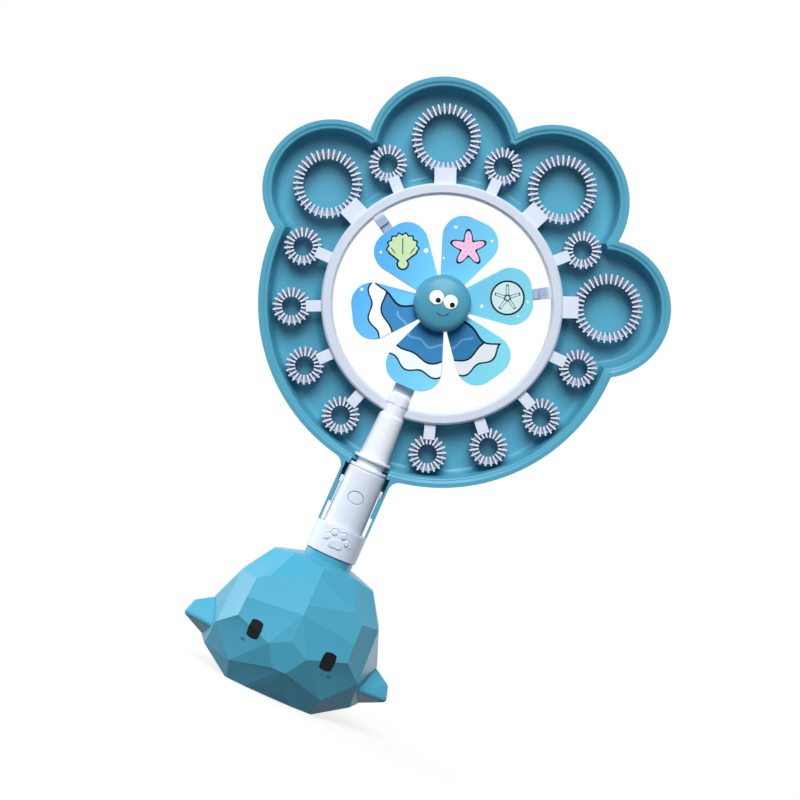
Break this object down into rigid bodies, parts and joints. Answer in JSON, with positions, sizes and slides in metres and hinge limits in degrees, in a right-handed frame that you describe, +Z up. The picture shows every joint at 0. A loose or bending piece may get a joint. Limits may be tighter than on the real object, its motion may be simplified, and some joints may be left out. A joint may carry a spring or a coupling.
{
  "type": "windmill bubble wand",
  "caption": "Windmill bubble wand with ribbed hoops round a spinning petal rotor, clipped in a paw-shaped dip tray, its battery handle screwed on a whale-shaped bottle.",
  "frame": {"origin": "centre of the bottle's flat base", "axes": "+Z up along the handle, -Y to the front of the wheel, +X to the right seen from the front"},
  "size_m": [0.269, 0.098, 0.3962],
  "materials": {
    "band_plastic": "satin moulded plastic, pale lavender grey",
    "hoop_plastic": "satin moulded plastic, lavender white",
    "handle_plastic": "satin moulded plastic, lavender white",
    "motor_metal": "plated motor can",
    "black_plastic": "matt moulded plastic",
    "screw_steel": "plated steel",
    "wire": "insulated wire",
    "circuit_board": "fibreglass board",
    "cell_jacket": "printed cell jacket",
    "contact_brass": "bright",
    "seal_rubber": "soft",
    "petal_print": "glossy sheet with a printed sea pattern",
    "hub_plastic": "glossy moulded plastic",
    "tray_plastic": "glossy moulded plastic",
    "bottle_plastic": "glossy blown plastic"
  },
  "bodies": {
    "wand": {"wheel_frame": "band_plastic", "large_hoops": "hoop_plastic", "small_hoops": "hoop_plastic", "motor_can": "motor_metal", "motor_end_bell": "black_plastic", "motor_cover": "band_plastic", "motor_cover_screws": "screw_steel", "motor_leads": "wire", "stem": "hoop_plastic", "handle_barrel": "handle_plastic", "switch_board": "circuit_board", "tact_switch": "black_plastic", "battery_cells": "cell_jacket", "cell_contacts": "contact_brass", "bridge_contact": "contact_brass", "bottle_cap": "handle_plastic", "cap_lock_screw": "screw_steel", "cap_seal": "seal_rubber"},
    "windmill": {"petal_rotor": "petal_print", "hub_cap": "hub_plastic", "motor_shaft": "screw_steel"},
    "button": {"power_button": "handle_plastic"},
    "tray": {"dip_tray": "tray_plastic"},
    "bottle": {"whale_bottle": "bottle_plastic"}
  },
  "joints": [
    {"name": "windmill_spin", "type": "hinge", "parent": "wand", "child": "windmill", "pos_m": [0, 0, 0.263], "axis": [0, -1, 0], "continuous": true},
    {"name": "button_press", "type": "slide", "parent": "wand", "child": "button", "axis": [0, 1, 0], "range_m": [0, 0.0008], "stiffness_N_per_m": 1900},
    {"name": "tray_slide", "type": "slide", "parent": "wand", "child": "tray", "axis": [0, 1, 0], "range_m": [0, 0.06]},
    {"name": "bottle_turn", "type": "hinge", "parent": "wand", "child": "bottle", "pos_m": [0, 0, 0.09], "axis": [0, 0, -1], "range_deg": [0, 540]}
  ]
}
